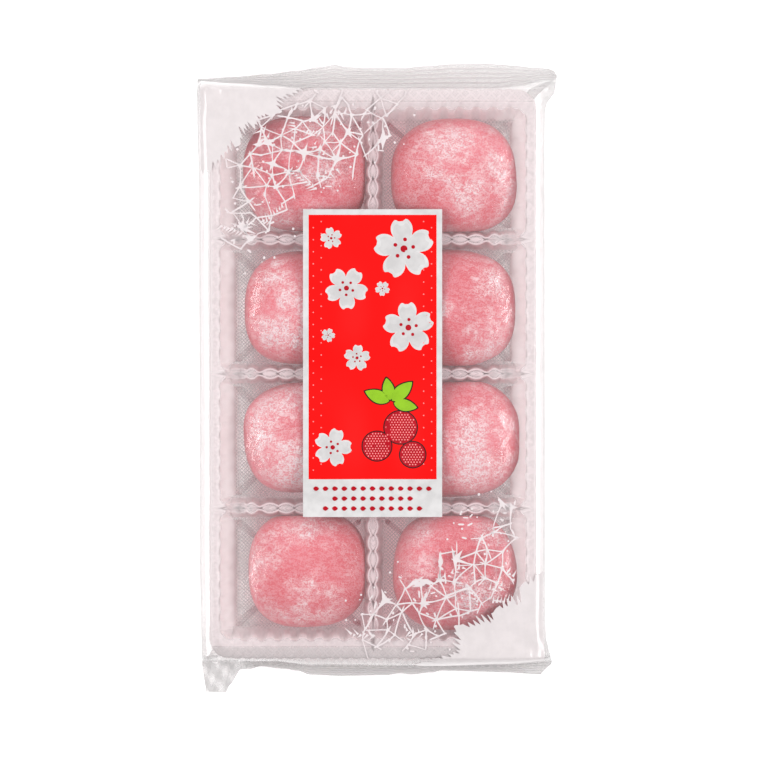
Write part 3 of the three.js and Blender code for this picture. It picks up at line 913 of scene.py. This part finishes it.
def torn_field(corner_x, corner_run, outline, luck):
    """A corner field in polar form: radius over angle as outline lists them, less needle-thin notches."""
    angle = np.linspace(0, np.pi / 2, 900)
    degrees, radii = np.array(outline).T
    base = np.interp(np.degrees(angle), degrees, radii)
    edge = base + 0.6 * np.sin(9 * angle + 1) + 0.45 * np.sin(23 * angle) + 0.2 * np.sin(61 * angle)
    for cluster in np.linspace(0.05, 1.45, 9) + luck.uniform(-0.05, 0.05, 9):
        notches = luck.integers(2, 7)
        places = cluster + np.arange(notches) * luck.uniform(0.034, 0.048)
        for place, depth in zip(places, luck.uniform(1.2, 3.4, notches)):
            edge = edge - depth * np.clip(1 - np.abs(angle - place) / 0.019, 0, 1) ** 0.7
    inner, outer = np.linspace(0, 1, 29)[:, None], np.linspace(0, 1, 5)[1:, None]
    radius = np.concatenate([inner * (base - 6), base - 6 + outer * (edge - base + 6)])
    x = np.sign(corner_x) * (np.abs(corner_x) - radius * np.cos(angle))
    run = np.sign(corner_run) * (np.abs(corner_run) - radius * np.sin(angle))
    points, faces = ink_patch(x, run, PRINT_LIFT * 0.9)
    return points, faces[:, ::-1] if corner_x * corner_run > 0 else faces


def ink(name, colour, roughness, mottle=0.06, gloss=0.15):
    """Printed ink: a film of colour of the given gloss, paler and darker by mottle in small clouds."""
    material, tree, place = new_material(name)
    density = noise(tree, place, 320.0, 4.0)
    darker = tuple(channel * (1 - 2 * mottle) for channel in colour)
    tone = blend(tree, ramp(tree, density, 0.3, 0.7), (*darker, 1), (*colour, 1))
    bump = relief(tree, density, 0.12, 0.05)
    return finished(material, body(tree, tone, roughness, bump, Specular_IOR_Level=gloss))


frost_white = ink("frost_white", (0.7, 0.645, 0.65), 0.16, 0.03, gloss=0.5)
web_white = ink("web_white", (0.72, 0.65, 0.66), 0.6, 0.02)
field_luck = np.random.default_rng(21)
UPPER_LEFT_FIELD = (  # degrees from the end seal's line, and radius
    (0, 40), (15, 38.5), (21, 37.4), (28, 34.9), (36, 33.1), (48, 30.2), (65, 33.1), (80, 37), (90, 42),
)
LOWER_RIGHT_FIELD = (
    (0, 44), (12, 42), (19, 38.6), (25, 35), (34, 36), (38, 37), (45, 34.2), (57, 33.2), (71, 34.9),
    (79, 37), (90, 41),
)
UPPER_CORNER = (-57.0, UPPER_SHOULDER + TURN_LENGTH - 0.5)
LOWER_CORNER = (57.0, -LOWER_SHOULDER - TURN_LENGTH + 0.5)
fields = [
    torn_field(*UPPER_CORNER, UPPER_LEFT_FIELD, field_luck),
    torn_field(*LOWER_CORNER, LOWER_RIGHT_FIELD, field_luck),
]
make_piece("frost_fields", *joined(fields), frost_white, "white_print")
web_luck = np.random.default_rng(33)
webs = fibre_web(*UPPER_CORNER, UPPER_LEFT_FIELD, 65.0, web_luck)
webs += fibre_web(*LOWER_CORNER, LOWER_RIGHT_FIELD, 63.0, web_luck)
make_piece("fibre_web", *joined(webs), web_white, "white_print")

# ----------------------------------------------------------------------------------------------------
# The label. A red panel with a white border, printed in flat inks on the middle of the front: blossoms
# and a berry sprig stand on the red between columns of dots, over a white strip.
# ----------------------------------------------------------------------------------------------------

LABEL_LEFT, LABEL_RIGHT, LABEL_TOP, LABEL_BOTTOM = -22.8, 23.1, 53.55, -48.0
BORDER = 1.85
STRIP_TOP = -35.5  # the white strip reaches up to here
INK_STEP = 0.03  # each ink lies this far above the one before
PETAL_TURN = 1.2566  # a fifth of a turn


def panel(left, right, bottom, top, layer):
    """A rectangle of ink."""
    x, run = np.meshgrid(np.linspace(left, right, 40), np.linspace(bottom, top, 80))
    return ink_patch(x, run, PRINT_LIFT + INK_STEP * layer)


def round_patch(x, y, angle, reach, rings, layer):
    """Ink round a middle, in polar form: out to reach at each angle, with points on the given rings."""
    out = np.array(rings)[:, None] * reach
    return ink_patch(x - out * np.cos(angle), y + out * np.sin(angle), PRINT_LIFT + INK_STEP * layer)


def petals(x, y, size, turn, layer, margin=0.0):
    """A blossom of five petals |cos|^0.55, notched at the tips, less a margin as a share of its size."""
    angle = np.linspace(0, 2 * np.pi, 121)
    lobe = np.abs(np.cos(2.5 * (angle - turn)))
    notch = 0.12 * np.exp(-((lobe - 1) ** 2) / 0.004)
    reach = np.clip(size * (0.42 + 0.58 * lobe**0.55 - notch) - size * margin, 0.02, None)
    return round_patch(x, y, angle, reach, (0.0, 0.35, 0.7, 1.0), layer)


def disc(x, y, radius, layer):
    """A round spot of ink."""
    return round_patch(x, y, np.linspace(0, 2 * np.pi, 37), radius, (0.0, 0.5, 1.0), layer)


def leaf(x, y, way, length, width, layer):
    """A pointed leaf from its stalk at x, y."""
    share, across = np.meshgrid(np.linspace(0, 1, 17), np.array([-1.0, 0.0, 1.0]))
    side = across * width / 2 * np.sin(np.pi * share**0.85) ** 0.8
    return ink_patch(
        x + length * share * np.cos(way) - side * np.sin(way),
        y + length * share * np.sin(way) + side * np.cos(way),
        PRINT_LIFT + INK_STEP * layer,
    )


label_white = ink("label_white", (0.66, 0.645, 0.645), 0.5)
label_grey = ink("label_grey", (0.6, 0.585, 0.585), 0.5)
label_red = ink("label_red", (0.84, 0.001, 0.001), 0.5, 0.02)
label_green = ink("label_green", (0.27, 0.52, 0.02), 0.5)
label_dark = ink("label_dark", (0.02, 0.012, 0.012), 0.35)
label_berry = ink("label_berry", (0.45, 0.002, 0.012), 0.5)
label_pale = ink("label_pale", (0.95, 0.28, 0.28), 0.35)

BLOSSOMS = (  # x, y, size and turn of each blossom, over the panel in a loose drift
    (10.5, 40.5, 10.4, 0.2), (-8.5, 27.5, 7.4, 0.9), (12.0, 14.5, 8.8, 1.5), (-5.0, 4.5, 4.6, 0.4),
    (-13.5, 44.0, 3.8, 0.1), (-13.0, -25.0, 6.6, 0.6), (3.4, 27.4, 2.6, 1.0), (-14.5, 12.0, 2.4, 0.7),
)
BERRIES = ((9.4, -18.4, 5.4), (1.6, -24.6, 4.8), (13.4, -27.4, 4.2))  # x, y and radius
LEAVES = (  # x, y, way, length and width
    (6.6, -9.6, 0.75, 9.0, 4.4), (6.0, -9.4, 1.75, 7.4, 3.8), (5.6, -9.8, 2.75, 8.6, 4.2),
    (7.2, -10.4, -0.2, 7.8, 3.8),
)

border = panel(LABEL_LEFT, LABEL_RIGHT, LABEL_BOTTOM, LABEL_TOP, 0)
make_piece("label_border", *border, label_white, "white_print")
field = panel(LABEL_LEFT + BORDER, LABEL_RIGHT - BORDER, STRIP_TOP, LABEL_TOP - BORDER, 1)
make_piece("label_field", *field, label_red, "red_print")
blossoms = joined([petals(*blossom, 2) for blossom in BLOSSOMS])
make_piece("label_blossoms", *blossoms, label_white, "white_print")
blossom_faces = joined([petals(*blossom, 3, 0.14) for blossom in BLOSSOMS])
make_piece("label_blossom_faces", *blossom_faces, label_grey, "white_print")
stamens = [
    disc(x + size * 0.3 * np.cos(way), y + size * 0.3 * np.sin(way), size * 0.06, 4)
    for x, y, size, turn in BLOSSOMS
    for way in turn + np.arange(5) * PETAL_TURN
]
stamens += [disc(x, y, size * 0.11, 4) for x, y, size, _ in BLOSSOMS]
strip_marks = [
    leaf(x, y, 0.0, 1.9, 1.5, 4)
    for y, count in ((-38.6, 13), (-41.9, 9), (-45.2, 11))
    for x in (np.arange(count) - (count - 1) / 2) * 3.1 - 0.8
]
make_piece("label_stamens", *joined(stamens + strip_marks), label_berry, "red_print")
outlines = [disc(x, y, radius + 0.35, 2) for x, y, radius in BERRIES]
outlines += [
    leaf(x - 0.35 * np.cos(way), y - 0.35 * np.sin(way), way, length + 0.9, width + 0.8, 4)
    for x, y, way, length, width in LEAVES
]
make_piece("label_outlines", *joined(outlines), label_dark, "dark_print")
make_piece("label_berries", *joined([disc(*berry, 3) for berry in BERRIES]), label_berry, "red_print")
make_piece("label_leaves", *joined([leaf(*one, 5) for one in LEAVES]), label_green, "green_print")
halftone = []
for x, y, radius in BERRIES:
    for row in range(-6, 7):
        for column in range(-6, 7):
            spot_x, spot_y = column * 0.95 + 0.475 * (row % 2), row * 0.82
            if np.hypot(spot_x, spot_y) < radius - 0.45:
                halftone.append(disc(x + spot_x, y + spot_y, 0.24, 4))
columns_of_dots = [
    disc(x, y, 0.22, 2)
    for x in (-19.4, -16.8, 17.0, 19.6)
    for y in np.arange(STRIP_TOP + 3, LABEL_TOP - 3, 4.0) + (2.0 if x in (-16.8, 17.0) else 0.0)
]
make_piece("label_dots", *joined(halftone + columns_of_dots), label_pale, "red_print")

# ----------------------------------------------------------------------------------------------------
# The table, the light and the camera. The pack lies on a pale table that glows faintly, between two soft
# lights at its sides and a weaker one at its head, and the camera looks straight down on it.
# ----------------------------------------------------------------------------------------------------

scene = bpy.context.scene
scene.view_settings.view_transform = "Standard"
scene.cycles.transparent_max_bounces = 40
scene.cycles.max_bounces = 10

table_mesh = bpy.data.meshes.new("table")
table_mesh.from_pydata([(-3, -3, 0), (3, -3, 0), (3, 3, 0), (-3, 3, 0)], [], [(0, 1, 2, 3)])
table = bpy.data.objects.new("table", table_mesh)
scene.collection.objects.link(table)
table_white, tree, _ = new_material("table_white")
glow = {"Emission Color": (1, 1, 1, 1), "Emission Strength": 0.4}
table_face = node(tree, "BsdfPrincipled", {"Base Color": (0.9, 0.9, 0.9, 1), "Roughness": 0.9, **glow})
table_mesh.materials.append(finished(table_white, table_face.outputs[0]))

scene.world = bpy.data.worlds.new("room")
scene.world.use_nodes = True
background = scene.world.node_tree.nodes["Background"]
background.inputs["Color"].default_value = (1, 1, 1, 1)
background.inputs["Strength"].default_value = 0.44


def softbox(name, place, size, power):
    """A square soft light that faces the pack."""
    light = bpy.data.lights.new(name, "AREA")
    light.size, light.energy = size, power
    box = bpy.data.objects.new(name, light)
    box.location = place
    box.rotation_mode = "QUATERNION"
    box.rotation_quaternion = (-box.location).to_track_quat("-Z", "Y")
    scene.collection.objects.link(box)


softbox("light_left", (-0.82, 0.0, 0.82), 0.6, 7.2)
softbox("light_right", (0.82, 0.0, 0.82), 0.6, 7.4)
softbox("light_head", (0.0, 1.0, 0.7), 0.9, 4.0)

FRAME_WIDTH = 249.8  # of the front of the pack, across the frame
CAMERA_HEIGHT = 2600.0  # above the front of the pack
camera_data = bpy.data.cameras.new("camera")
camera_data.sensor_width = 36.0
camera_data.lens = 36.0 * CAMERA_HEIGHT / FRAME_WIDTH
camera = bpy.data.objects.new("camera", camera_data)
camera.location = (np.array([2.1, -2.3, 24.0 + CAMERA_HEIGHT]) + PACK_SHIFT) * MM
scene.collection.objects.link(camera)
scene.camera = camera
